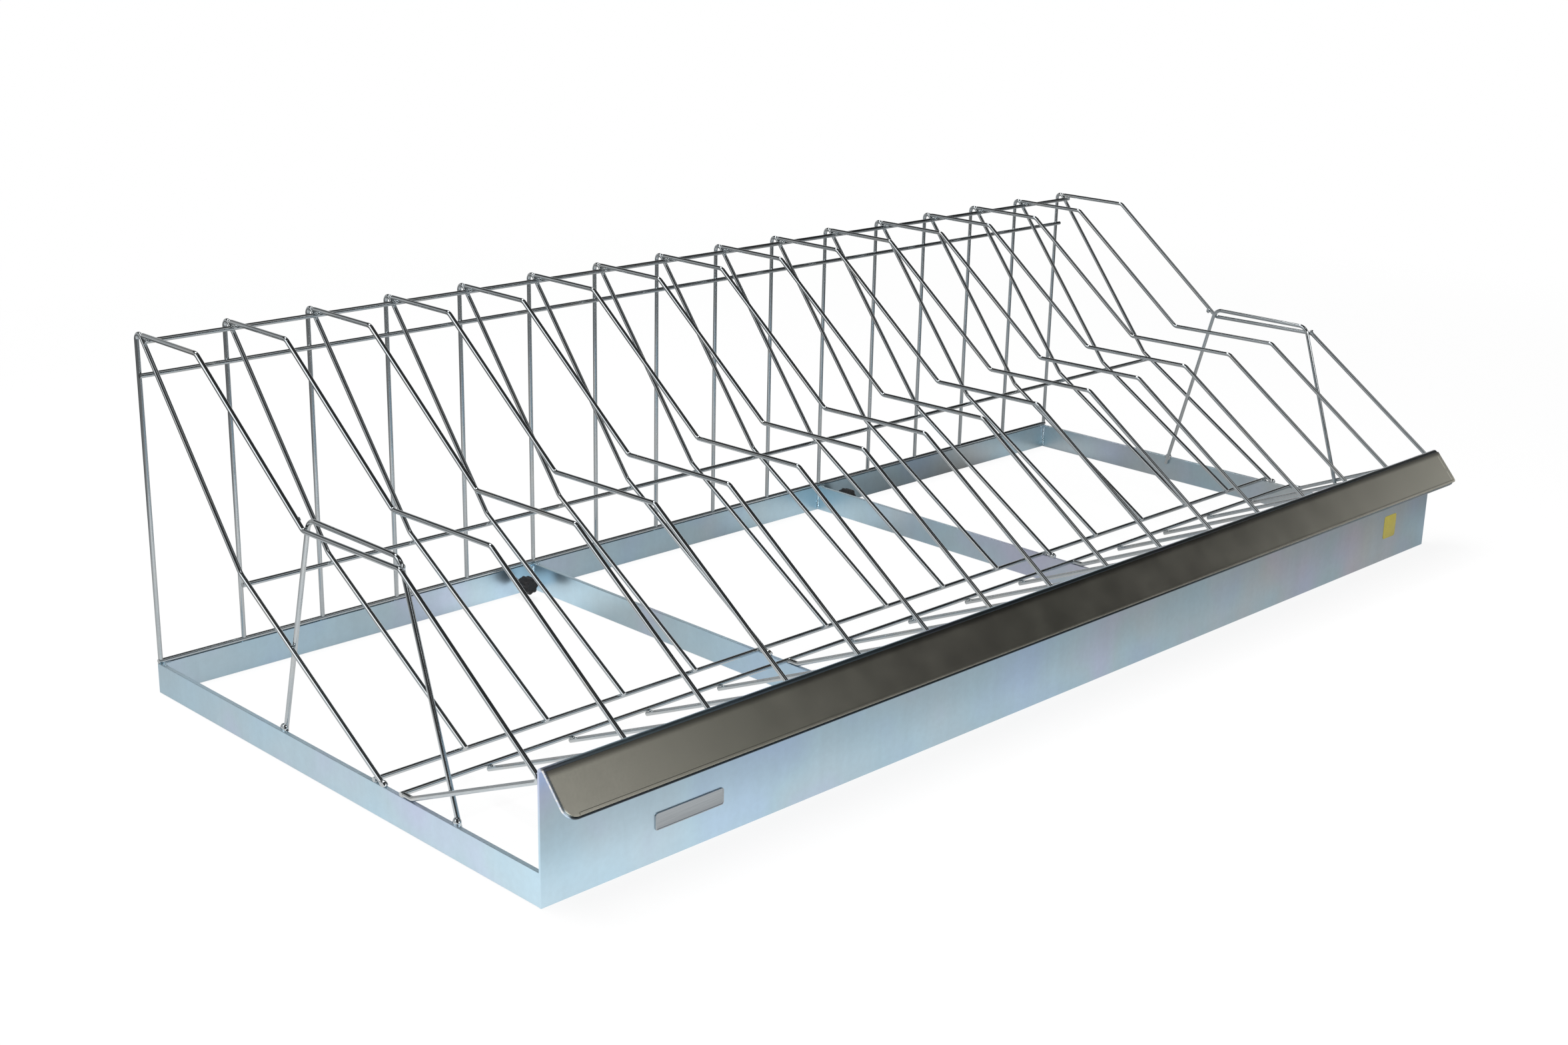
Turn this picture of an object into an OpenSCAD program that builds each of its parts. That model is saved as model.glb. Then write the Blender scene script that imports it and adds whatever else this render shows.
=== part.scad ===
// Wire reel rack: a welded base frame, sixteen bent-wire dividers on cross rods, and two thumb screws.
// Millimetres, +Z up, +X along the row of dividers, -Y towards the front panel.

/* [Row of dividers] */
// Distance between neighbouring dividers, centre to centre
pitch = 60; // [50:1:75]
// Diameter of the divider wire and of the cross rods
wire_d = 3; // [2.6:0.1:3.6]
// Height of the rack over the hairpin bends
rack_h = 236; // [220:1:260]

/* [Base frame] */
// Depth of the base from the panel's front face to the back of the rear bar
base_d = 389.5; // [370:0.5:420]
// Height of the flat bars
bar_h = 20; // [18:1:25]
// Thickness of the flat bars
bar_t = 3; // [2.5:0.5:4]
// Height of the front panel over its top bend
panel_h = 79.3; // [72:0.1:88]
// Thickness of the front panel's sheet
panel_t = 1.5; // [1:0.1:2]
// Inner radius of the panel's top bend
fold_r = 1.5; // [1:0.1:2.5]

/* [Front lip] */
// Slope length of the lip below the bend
lip_l = 28.5; // [22:0.5:34]
// Angle of the lip below level
lip_a = 48.5; // [40:0.5:60]
// Radius of the lip's lower corners
lip_r = 8; // [5:0.5:10]
// Thickness of the label strip
strip_t = 1; // [0.6:0.1:1.5]
// Margin of bare lip left of the strip and below it
strip_rim = 0.9; // [0.5:0.1:2]
// Radius of the strip's lower right corner
strip_r = 2.5; // [1:0.5:5]
// Width of the strip's lower bead
bead_w = 1.8; // [1:0.1:2.5]
// Height of the strip's lower bead
bead_t = 0.5; // [0.3:0.1:0.8]

/* [Divider shape] */
// Distance of the wire's first bend in front of the upright
crest_l = 70.5; // [60:0.5:80]
// Distance of the second bend from the panel's front face
notch_y = 211; // [200:1:220]
// Height of the second bend
notch_z = 152; // [146:1:158]
// Distance of the third bend from the panel's front face
shoulder_y = 118; // [110:1:126]
// Height of the third bend
shoulder_z = 153.5; // [148:0.5:160]
// Bend radius of the outer wire
bend_r = 6; // [4.5:0.5:8]
// Bend radius of the outer wire behind the front panel
hook_r = 2.5; // [2:0.1:4]
// Distance of that bend's centre below the start of the panel's top bend
hook_drop = 4.6; // [3:0.1:8]
// Clear gap inside the hairpin
hair_gap = 4; // [3:0.5:6]
// Distance of the inner wire's knee in front of the upright
knee_l = 106; // [98:1:114]
// Height of the inner wire's knee
knee_z = 108; // [100:1:116]
// Bend radius at the knee
knee_r = 10; // [6:1:16]
// Distance of the mid rod below the knee, along the wire
mid_l = 6; // [5:0.5:12]
// Distance of the seat rod from the panel's front face
seat_y = 149; // [142:1:156]
// Distance of the front base rod from the panel's front face
front_y = 123; // [116:1:130]
// Height of the upper back rod
back_z = 208.6; // [195:0.1:214]

/* [End supports] */
// Height of the support's top run over the third bend
sup_lift = 5; // [3.5:0.5:8]
// Distance of the top run's rear corner from the panel's front face
sup_rear_y = 210; // [200:1:220]
// Distance of the top run's front corner from the panel's front face
sup_front_y = 122; // [112:1:132]
// Spread of the rear leg at the bar's top
sup_rear_spread = 36; // [25:1:45]
// Spread of the front leg at the bar's top
sup_front_spread = 46; // [35:1:55]
// Bend radius of the support
sup_r = 8; // [5:0.5:12]
// Length of the feet down the side bar's inner face
foot_l = 6; // [3:0.5:10]

/* [Thumb screws] */
// Distance of each screw from its crossbar, centre to centre
screw_off = 18; // [14:0.5:24]
// Diameter of the threaded stud
stud_d = 4; // [3:0.5:5]
// Free length of the stud behind the rear bar
stud_tail = 9; // [8:0.5:16]
// Diameter over the grip's lobes
grip_d = 13; // [11:0.5:16]
// Length of the grip's lobed head
grip_l = 10; // [7:0.5:14]
// Diameter of the grip's hub
hub_d = 8; // [7:0.5:10]
// Length of the grip's hub
hub_l = 3; // [2:0.5:5]
// Thickness of the grip's closed front end
grip_end = 3; // [2:0.5:5]
// Gap between the hub and the rear bar
standoff = 7; // [5:0.5:10]

/* [Hidden] */
$fn = 48;
zinc = [0.72, 0.76, 0.79];
bright = [0.62, 0.64, 0.66];
olive = [0.44, 0.43, 0.38];
black = [0.05, 0.05, 0.05];
count = 16;
cross_idx = [5, 10];
// Air between two pieces that a weld joins
weld = 0.05;
// Bends are this much thicker all round than the straight stretches, which run into them by the lap
bend_swell = 0.02;
bend_lap = 0.2;
wr = wire_d / 2;
touch = wire_d + weld;
frame_w = (count - 1) * pitch + bar_t;
fold_o = fold_r + panel_t;
fold_z = panel_h - fold_o;
lip_n = 90 + lip_a;
// Distance of the strip below the end of the panel's top bend
strip_top = 0.4;
strip_end = lip_l - strip_rim;
rear_y = base_d - bar_t;
upright_y = base_d - bar_t / 2;
rest_z = bar_h + wr + weld;
hair_r = (wire_d + hair_gap) / 2;
apex_z = rack_h - wr;
hair_c = [upright_y - hair_r, apex_z - hair_r];
knee = [upright_y - knee_l, knee_z];
seat = [seat_y, rest_z];
front = [front_y, rest_z];
hook_c = [panel_t + weld + wr + hook_r, fold_z - hook_drop];
notch = [notch_y, notch_z];
shoulder = [shoulder_y, shoulder_z];
crest = [upright_y - crest_l, apex_z];

// Plain plane geometry in the divider's own plane: first number is Y, second is Z
function dir(a) = [cos(a), sin(a)];
function ang(v) = atan2(v[1], v[0]);
function wrap(a) = a > 180 ? a - 360 : (a <= -180 ? a + 360 : a);
function turn_at(p, k) = wrap(ang(p[k + 1] - p[k]) - ang(p[k] - p[k - 1]));
function trim(p, r, k) =
    k == 0 || k == len(p) - 1 ? 0 : r[k] * tan(abs(turn_at(p, k)) / 2);
function lap(p, k) = k == 0 || k == len(p) - 1 ? 0 : bend_lap;
// Direction from point p along the line that has the circle round c on its left
function past_left(p, c, r) = ang(c - p) - asin(r / norm(c - p));
// Corner of a path that comes in at angle a, goes round the circle on its left and leaves at angle b
function round_corner(c, r, a, b) =
    c + r / cos((b - a) / 2) * dir((a + b) / 2 - 90);

leg_a = ang(hair_c - knee) + asin(hair_r / norm(hair_c - knee)) + 180;
hair_top = round_corner(hair_c, hair_r, 90, leg_a);
leg_t = hair_c + hair_r * dir(leg_a - 90);
function leg_y(z) = leg_t[0] + (z - leg_t[1]) / tan(leg_a);
side = 1 / abs(sin(leg_a));
top_rod_z = apex_z - touch;
top_rod_y = leg_y(top_rod_z) - touch * side;
crest_end_y = leg_y(apex_z - wr) - wr * side - weld;
low_a = ang(seat - knee) - asin(touch / norm(seat - knee)) + 360;
low_l = sqrt(pow(norm(seat - knee), 2) - touch * touch);
land_z = bar_h + weld + wr * abs(cos(low_a));
land_l = (knee_z - land_z) / abs(sin(low_a));
mid = knee + mid_l * dir(low_a) + touch * dir(low_a + 90);
front_a = past_left(shoulder, hook_c, hook_r) + 360;
run_l = norm(front - hook_c);
run_a = ang(front - hook_c) - asin((touch - hook_r) / run_l);
bar_end = [front_y - wr - weld, rest_z];
bar_knee = [front_y - 3 * wire_d, rest_z];
bar_a = ang(bar_knee - hook_c) + asin(hook_r / norm(bar_knee - hook_c));
sup_x = (count - 1) * pitch / 2 - touch;
sup_z = shoulder_z + sup_lift;
foot_k = (sup_z - bar_h + foot_l) / (sup_z - bar_h);
screw_x = pitch * (cross_idx[1] - (count - 1) / 2) + screw_off;
screw_z = 0.55 * bar_h;
// The stud's thread starts a little behind the rear bar, and the plain shank in front of it is thinner
thread_gap = 0.5;
thread_end = stud_tail - thread_gap;
shank_d = 0.85 * stud_d;
// Radial play of the thread in the rear bar and of the shank in the grip, and the shank's end gap there
screw_play = 0.1;
bore_play = 0.05;
end_gap = 0.5;
stud_chamfer = 0.5;
flutes = 7;
flute_r = 0.14 * grip_d;
flute_out = 0.3 * flute_r;
bore_l = grip_l + hub_l - grip_end;
stud_l = stud_tail + bar_t + standoff + bore_l - end_gap;
strip_front = fold_r + (lip_l - strip_rim) * cos(lip_a)
    + (fold_o + strip_t + bead_t) * sin(lip_a);
lip_front = fold_r + lip_l * cos(lip_a) + fold_o * sin(lip_a);
mid_y = (base_d + stud_tail - max(strip_front, lip_front)) / 2;

function divider_x(i) = (i - (count - 1) / 2) * pitch;
function on_bar(i) =
    i == 0 || i == count - 1 || len(search(i, cross_idx)) > 0;

// Puts a shape drawn in the plane of a divider at x, with its third axis along +X
module plane_at(x) {
    translate([x, -mid_y, 0])
        rotate([90, 0, 90])
            children();
}

// Round wire along the points p, with the bend radii r
module bent(x, p, r) {
    n = len(p);
    plane_at(x) {
        for (k = [0 : n - 2]) {
            v = p[k + 1] - p[k];
            off_a = trim(p, r, k) - lap(p, k);
            off_b = trim(p, r, k + 1) - lap(p, k + 1);
            a = p[k] + off_a * dir(ang(v));
            translate([a[0], a[1], 0])
                rotate([0, 0, ang(v)])
                    rotate([0, 90, 0])
                        cylinder(d = wire_d, h = norm(v) - off_a - off_b);
        }
        for (k = [1 : n - 2]) {
            w = ang(p[k] - p[k - 1]);
            t = turn_at(p, k);
            s = sign(t);
            c = p[k] - trim(p, r, k) * dir(w) + r[k] * dir(w + 90 * s);
            translate([c[0], c[1], 0])
                rotate([0, 0, s > 0 ? w - 90 : w + 90 - abs(t)])
                    rotate_extrude(angle = abs(t))
                        translate([r[k], 0])
                            circle(d = wire_d + 2 * bend_swell);
        }
    }
}

// Straight rod across the whole rack
module rod(y, z) {
    translate([-frame_w / 2, y - mid_y, z])
        rotate([0, 90, 0])
            cylinder(d = wire_d, h = frame_w);
}

// Upright, hairpin and back slope of one divider
module inner_wire(i) {
    reach = on_bar(i) ? land_l : low_l + wr;
    bent(
        divider_x(i),
        [[upright_y, rest_z + wr + weld], hair_top, knee, knee + reach * dir(low_a)],
        [0, hair_r, knee_r, 0]
    );
}

// Crest, notch, shoulder and front slope of one divider, with its return run to the front base rod
module outer_wire(i) {
    rise = [[crest_end_y, apex_z], crest, notch, shoulder];
    if (on_bar(i))
        bent(
            divider_x(i),
            concat(rise, [round_corner(hook_c, hook_r, front_a, bar_a + 360), bar_knee, bar_end]),
            [0, bend_r, bend_r, bend_r, hook_r, bend_r, 0]
        );
    else
        bent(
            divider_x(i),
            concat(rise, [
                round_corner(hook_c, hook_r, front_a, run_a + 360),
                front + touch * dir(run_a - 90) + wire_d * dir(run_a)
            ]),
            [0, bend_r, bend_r, bend_r, hook_r, 0]
        );
}

// Bent wire beside an end divider, with its feet on the side bar
module end_support(s) {
    bent(
        s * sup_x,
        [
            [sup_rear_y + sup_rear_spread * foot_k, bar_h - foot_l],
            [sup_rear_y, sup_z],
            [sup_front_y, sup_z],
            [sup_front_y - sup_front_spread * foot_k, bar_h - foot_l]
        ],
        [0, sup_r, sup_r, 0]
    );
}

// What a corner of radius r takes off a square corner at the origin, towards +X and -Y
module corner_cut(r) {
    difference() {
        translate([-1, -r])
            square([r + 1, r + 1]);
        translate([r, -r])
            circle(r);
    }
}

// Plate of thickness t on the lip, n0 from the bend's centre, from slope v0 to v1 and from x0 to x1,
// with the lower corners rounded by ra on the left and rb on the right
module lip_plate(n0, t, v0, v1, x0, x1, ra, rb) {
    plane_at(0)
        translate([-fold_r, fold_z, 0])
            rotate([0, 0, lip_n])
                translate([n0 + t, 0, 0])
                    rotate([0, -90, 0])
                        linear_extrude(t)
                            difference() {
                                translate([x0, v0])
                                    square([x1 - x0, v1 - v0]);
                                if (ra > 0)
                                    translate([x0, v1])
                                        corner_cut(ra);
                                if (rb > 0)
                                    translate([x1, v1])
                                        mirror([1, 0])
                                            corner_cut(rb);
                            }
}

// Upright sheet, top bend and sloping lip; the bend stops a trace short of the sheet's ends
module front_panel() {
    color(zinc) {
        translate([-frame_w / 2, -mid_y, 0])
            cube([frame_w, panel_t, fold_z + bend_lap]);
        plane_at(-frame_w / 2 + weld)
            translate([-fold_r, fold_z, 0])
                rotate_extrude(angle = lip_n)
                    translate([fold_r - bend_swell, 0])
                        square([panel_t + 2 * bend_swell, frame_w - 2 * weld]);
        lip_plate(fold_r, panel_t, -bend_lap, lip_l, -frame_w / 2, frame_w / 2, lip_r, lip_r);
    }
}

// Satin holder on the lip, with a bead along its lower edge
module label_strip() {
    color(olive) {
        lip_plate(
            fold_o, strip_t, strip_top, strip_end,
            strip_rim - frame_w / 2, frame_w / 2, lip_r - strip_rim, strip_r
        );
        lip_plate(
            fold_o + strip_t, bead_t, strip_end - bead_w, strip_end,
            lip_r - frame_w / 2, frame_w / 2 - strip_r, 0, 0
        );
    }
}

// Flat bar with a hole for each screw
module rear_bar() {
    color(zinc)
        difference() {
            translate([bar_t - frame_w / 2, rear_y - mid_y, 0])
                cube([frame_w - 2 * bar_t, bar_t, bar_h]);
            for (s = [-1, 1])
                translate([s * screw_x, rear_y - mid_y - 1, screw_z])
                    rotate([-90, 0, 0])
                        cylinder(d = stud_d + 2 * screw_play, h = bar_t + 2);
        }
}

// Flat bar along the end of the base, from the panel to the rear corner
module side_bar(s) {
    translate([s > 0 ? frame_w / 2 - bar_t : -frame_w / 2, panel_t - mid_y, 0])
        cube([bar_t, base_d - panel_t, bar_h]);
}

module left_side_bar() { color(zinc) side_bar(-1); }
module right_side_bar() { color(zinc) side_bar(1); }

// Flat bar under a divider, from the panel to the rear bar
module crossbar(i) {
    translate([divider_x(i) - bar_t / 2, panel_t - mid_y, 0])
        cube([bar_t, rear_y - panel_t, bar_h]);
}

module left_crossbar() { color(zinc) crossbar(cross_idx[0]); }
module right_crossbar() { color(zinc) crossbar(cross_idx[1]); }

module top_rod() { color(bright) rod(top_rod_y, top_rod_z); }
module upper_back_rod() { color(bright) rod(upright_y - touch, back_z); }
module rear_base_rod() { color(bright) rod(upright_y, rest_z); }
module mid_rod() { color(bright) rod(mid[0], mid[1]); }
module seat_rod() { color(bright) rod(seat[0], seat[1]); }
module front_base_rod() { color(bright) rod(front[0], front[1]); }

module left_end_support() { color(bright) end_support(-1); }
module right_end_support() { color(bright) end_support(1); }

// Axis of a screw, with its origin at the hub's rear face and its third axis towards the front
module screw_at(s) {
    translate([s * screw_x, rear_y - standoff - mid_y, screw_z])
        rotate([90, 0, 0])
            children();
}

// Lobed plastic grip with a hub and a blind bore for the stud
module grip(s) {
    screw_at(s)
        difference() {
            union() {
                cylinder(d = hub_d, h = hub_l);
                translate([0, 0, hub_l])
                    difference() {
                        cylinder(d = grip_d, h = grip_l);
                        for (k = [0 : flutes - 1])
                            rotate([0, 0, (k + 0.5) * 360 / flutes])
                                translate([grip_d / 2 + flute_out, 0, -1])
                                    cylinder(r = flute_r, h = grip_l + 2);
                    }
            }
            translate([0, 0, -1])
                cylinder(d = shank_d + 2 * bore_play, h = bore_l + 1);
        }
}

// Stud from the grip through the rear bar: plain shank, thread and chamfered free end
module stud(s) {
    screw_at(s)
        translate([0, 0, -standoff - bar_t - stud_tail]) {
            cylinder(d1 = stud_d - 2 * stud_chamfer, d2 = stud_d, h = stud_chamfer);
            translate([0, 0, stud_chamfer])
                cylinder(d = stud_d, h = thread_end - stud_chamfer);
            translate([0, 0, thread_end])
                cylinder(d = shank_d, h = stud_l - thread_end);
        }
}

module left_grip() { color(black) grip(-1); }
module right_grip() { color(black) grip(1); }
module left_stud() { color(bright) stud(-1); }
module right_stud() { color(bright) stud(1); }

module inner_wire_01() { color(bright) inner_wire(0); }
module inner_wire_02() { color(bright) inner_wire(1); }
module inner_wire_03() { color(bright) inner_wire(2); }
module inner_wire_04() { color(bright) inner_wire(3); }
module inner_wire_05() { color(bright) inner_wire(4); }
module inner_wire_06() { color(bright) inner_wire(5); }
module inner_wire_07() { color(bright) inner_wire(6); }
module inner_wire_08() { color(bright) inner_wire(7); }
module inner_wire_09() { color(bright) inner_wire(8); }
module inner_wire_10() { color(bright) inner_wire(9); }
module inner_wire_11() { color(bright) inner_wire(10); }
module inner_wire_12() { color(bright) inner_wire(11); }
module inner_wire_13() { color(bright) inner_wire(12); }
module inner_wire_14() { color(bright) inner_wire(13); }
module inner_wire_15() { color(bright) inner_wire(14); }
module inner_wire_16() { color(bright) inner_wire(15); }

module outer_wire_01() { color(bright) outer_wire(0); }
module outer_wire_02() { color(bright) outer_wire(1); }
module outer_wire_03() { color(bright) outer_wire(2); }
module outer_wire_04() { color(bright) outer_wire(3); }
module outer_wire_05() { color(bright) outer_wire(4); }
module outer_wire_06() { color(bright) outer_wire(5); }
module outer_wire_07() { color(bright) outer_wire(6); }
module outer_wire_08() { color(bright) outer_wire(7); }
module outer_wire_09() { color(bright) outer_wire(8); }
module outer_wire_10() { color(bright) outer_wire(9); }
module outer_wire_11() { color(bright) outer_wire(10); }
module outer_wire_12() { color(bright) outer_wire(11); }
module outer_wire_13() { color(bright) outer_wire(12); }
module outer_wire_14() { color(bright) outer_wire(13); }
module outer_wire_15() { color(bright) outer_wire(14); }
module outer_wire_16() { color(bright) outer_wire(15); }

front_panel();
label_strip();
rear_bar();
left_side_bar();
right_side_bar();
left_crossbar();
right_crossbar();
top_rod();
upper_back_rod();
rear_base_rod();
mid_rod();
seat_rod();
front_base_rod();
left_end_support();
right_end_support();
left_grip();
right_grip();
left_stud();
right_stud();
inner_wire_01();
inner_wire_02();
inner_wire_03();
inner_wire_04();
inner_wire_05();
inner_wire_06();
inner_wire_07();
inner_wire_08();
inner_wire_09();
inner_wire_10();
inner_wire_11();
inner_wire_12();
inner_wire_13();
inner_wire_14();
inner_wire_15();
inner_wire_16();
outer_wire_01();
outer_wire_02();
outer_wire_03();
outer_wire_04();
outer_wire_05();
outer_wire_06();
outer_wire_07();
outer_wire_08();
outer_wire_09();
outer_wire_10();
outer_wire_11();
outer_wire_12();
outer_wire_13();
outer_wire_14();
outer_wire_15();
outer_wire_16();
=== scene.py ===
"""Looks of the wire reel rack: finishes, welds, thumb screws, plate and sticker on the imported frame."""

import math
import random

import bmesh
import bpy
from mathutils import Matrix, Vector, noise


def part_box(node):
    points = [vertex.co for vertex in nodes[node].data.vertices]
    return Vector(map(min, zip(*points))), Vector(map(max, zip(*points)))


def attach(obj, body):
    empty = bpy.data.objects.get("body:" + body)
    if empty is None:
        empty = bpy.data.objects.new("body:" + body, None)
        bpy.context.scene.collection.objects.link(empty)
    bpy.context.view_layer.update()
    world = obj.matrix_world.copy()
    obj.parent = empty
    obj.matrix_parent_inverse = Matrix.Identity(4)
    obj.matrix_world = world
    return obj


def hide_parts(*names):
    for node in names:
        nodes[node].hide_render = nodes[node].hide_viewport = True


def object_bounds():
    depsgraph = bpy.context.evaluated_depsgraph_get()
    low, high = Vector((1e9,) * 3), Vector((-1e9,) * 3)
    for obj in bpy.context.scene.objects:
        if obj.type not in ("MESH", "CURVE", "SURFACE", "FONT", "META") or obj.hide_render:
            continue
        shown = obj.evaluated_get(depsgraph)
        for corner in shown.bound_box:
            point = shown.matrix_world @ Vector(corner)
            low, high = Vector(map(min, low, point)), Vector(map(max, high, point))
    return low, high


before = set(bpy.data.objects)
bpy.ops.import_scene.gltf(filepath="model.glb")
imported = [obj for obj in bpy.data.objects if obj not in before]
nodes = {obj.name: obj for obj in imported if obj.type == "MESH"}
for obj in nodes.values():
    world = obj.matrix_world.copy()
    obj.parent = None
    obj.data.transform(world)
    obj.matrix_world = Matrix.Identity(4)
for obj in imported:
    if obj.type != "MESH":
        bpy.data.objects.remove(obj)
cad_lo, cad_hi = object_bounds()
rng = random.Random(11)
jitter = rng.uniform
MM = 0.001
SHARP = math.radians(40)
INSIDE = 0.01                                # millimetres that added skins stay inside the frame's box


class Rack:
    """Sizes and places in millimetres: x along the row, y from the panel's front face, z up.

    Pairs are (y, z).
    """
    pitch = 60.0                             # from divider to divider
    count = 16                               # dividers
    crossed = (5, 10)                        # dividers over the crossbars
    wire_r = 1.5
    gap = 0.05                               # air between welded pieces
    touch = 2 * wire_r + gap                 # between the middles of two wires that touch
    bar_t = 3.0
    bar_h = 20.0
    base_d = 389.5                           # panel's front face to the rear bar's back
    panel_t = 1.5
    panel_h = 79.3
    fold_r = 1.5                             # inside the panel's top bend
    rest_z = bar_h + gap + wire_r            # middle of a rod on the bars
    apex_z = 234.5                           # middle of the wire at the hairpin and the crest
    upright_y = base_d - bar_t / 2
    back_z = 208.6                           # upper back rod
    hair_r = 3.5                             # hairpin at the top
    knee = Vector((282.0, 108.0))            # bend of the back slope
    crest_y = 317.5
    notch = Vector((211.0, 152.0))
    shoulder = Vector((118.0, 153.5))
    hook_r = 2.5                             # bend behind the panel
    hook_drop = 4.6                          # its centre below the start of the panel's bend
    seat = Vector((149.0, rest_z))
    front = Vector((123.0, rest_z))
    support_z = 158.5                        # top run of the end supports
    support_rear = 210.0
    support_front = 122.0
    spread_rear = 36.0                       # how far their feet stand out from the top run
    spread_front = 46.0
    screw_x = 168.0
    screw_z = 11.0
    standoff = 7.0                           # grip's hub in front of the rear bar
    tail = 9.0                               # stud's end behind the rear bar


class Screw:
    """Sizes of a thumb screw's stud and grip in millimetres."""
    thread_pitch = 0.7
    thread_l = 8.5                           # from the stud's tip
    root_r = 1.66
    crest_r = 1.98
    shank_r = 1.69
    tip_r = 1.45
    chamfer = 0.3
    in_grip = 9.4                            # stud's length inside the grip
    bore_r = 1.8
    hub_end_r = 3.6
    hub_r = 3.92
    hub_l = 2.7                              # from the hub's end, as is the head's length
    neck = 0.35                              # rounded steps at both ends of the hub
    head_l = 12.95
    head_r = 6.45
    back_round = 1.2                         # rounding of the head's ends, along the axis and across it
    back_inset = 1.3
    front_round = 1.55
    front_inset = 1.6
    flutes = 7
    flute_r = 1.87
    flute_out = 7.046                        # centre of a flute from the axis
    core_r = 4.2                             # flat part of the head's ends
    back_core = 1.6                          # inset of the outline there, at the back and at the front
    front_core = 2.2
    dish_r = 3.4                             # the dish's rim and its depth there
    dish_rim = 0.25
    dish_mid_r = 1.0                         # its flat middle and its depth there
    dish_l = 0.33


mid_y = Rack.base_d + Rack.tail - cad_hi.y / MM      # depth of the shared frame's origin
half_w = (cad_hi.x - cad_lo.x) / (2 * MM)
divider_x = [(i - (Rack.count - 1) / 2) * Rack.pitch for i in range(Rack.count)]
fold_y = (-Rack.fold_r - mid_y) * MM                 # axis of the panel's top bend in metres
fold_z = Rack.panel_h * MM
on_bar = {0, *Rack.crossed, Rack.count - 1}          # dividers that end on a bar


def place(x, y, z):
    """Point in metres, in the shared frame, of a place on the rack in millimetres."""
    return Vector((x * MM, (y - mid_y) * MM, z * MM))


def heading(a):
    return Vector((math.cos(a), math.sin(a)))


def angle(v):
    return math.atan2(v.y, v.x)


# Shader helpers
def add(tree, kind, **inputs):
    """New node; each keyword sets an input, or links it where the value is a socket."""
    made = tree.nodes.new("ShaderNode" + kind)
    for name, value in inputs.items():
        socket = made.inputs[name]
        if isinstance(value, bpy.types.NodeSocket):
            tree.links.new(value, socket)
        else:
            socket.default_value = value
    return made


def maths(tree, operation, *values):
    made = tree.nodes.new("ShaderNodeMath")
    made.operation = operation
    for k, value in enumerate(values):
        if isinstance(value, bpy.types.NodeSocket):
            tree.links.new(value, made.inputs[k])
        else:
            made.inputs[k].default_value = value
    return made.outputs[0]


def times(tree, first, *others):
    """Product of two or more values."""
    for other in others:
        first = maths(tree, "MULTIPLY", first, other)
    return first


def spread(tree, value, low, high, start=0.3, end=0.7, shape="LINEAR"):
    """Value taken from start to end onto low to high, and held there beyond them."""
    made = add(tree, "MapRange", **{
        "Value": value, "From Min": start, "From Max": end, "To Min": low, "To Max": high,
    })
    made.interpolation_type = shape
    return made.outputs["Result"]


def clouds(tree, where, scale, detail=3.0, rough=0.55, stretch=(1, 1, 1)):
    """Noise value at the object's own place, with the pattern stretched by the given numbers."""
    mapped = add(tree, "Mapping", Vector=where, Scale=stretch)
    made = add(tree, "TexNoise", Vector=mapped.outputs[0], Scale=scale, Detail=detail, Roughness=rough)
    return made.outputs["Fac"]


def ramp(tree, value, stops):
    made = add(tree, "ValToRGB", Fac=value)
    band = made.color_ramp
    while len(band.elements) < len(stops):
        band.elements.new(0.5)
    for element, (at, color) in zip(band.elements, stops):
        element.position = at
        element.color = (*color, 1)
    return made.outputs["Color"]


def tint(tree, color, shade):
    """Colour multiplied by a value."""
    made = tree.nodes.new("ShaderNodeMix")
    made.data_type = "RGBA"
    made.blend_type = "MULTIPLY"
    made.inputs["Factor"].default_value = 1
    tree.links.new(color, made.inputs[6])
    tree.links.new(shade, made.inputs[7])
    return made.outputs[2]


def surface(name, metallic):
    """New material with its tree, shader node and object coordinates."""
    mat = bpy.data.materials.new(name)
    mat.use_nodes = True
    tree = mat.node_tree
    bsdf = tree.nodes["Principled BSDF"]
    bsdf.inputs["Metallic"].default_value = metallic
    where = add(tree, "TexCoord").outputs["Object"]
    return mat, tree, bsdf, where


def bumped(tree, bsdf, height, strength, depth):
    made = add(tree, "Bump", Height=height, Strength=strength, Distance=depth)
    tree.links.new(made.outputs[0], bsdf.inputs["Normal"])


def painted_edge_shadow(tree, x):
    """Painted shadow along the lip's and the strip's lower edges, dark on the left and paler on the right.
    """
    return spread(tree, x, 0.15, 0.62, 0.05, 0.28)


# Zinc on the sheet and the flat bars
def sheet_color(tree, where, x):
    """Blue-grey patches that turn greyer to the right, with faint tinges of other hues."""
    patch = maths(tree, "ADD", times(tree, x, 0.35), clouds(tree, where, 7.0, 3.0))
    color = ramp(tree, patch, [
        (0.25, (0.60, 0.75, 0.90)), (0.45, (0.57, 0.72, 0.86)), (0.58, (0.56, 0.69, 0.80)),
        (0.68, (0.62, 0.69, 0.78)), (0.82, (0.67, 0.69, 0.73)),
    ])
    hue = ramp(tree, clouds(tree, where, 10.0, 2.0), [
        (0.3, (0.95, 0.99, 1.06)), (0.45, (0.97, 1.03, 0.99)),
        (0.55, (1.0, 1.01, 0.95)), (0.7, (1.09, 0.96, 1.02)),
    ])
    return tint(tree, color, hue)


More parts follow.
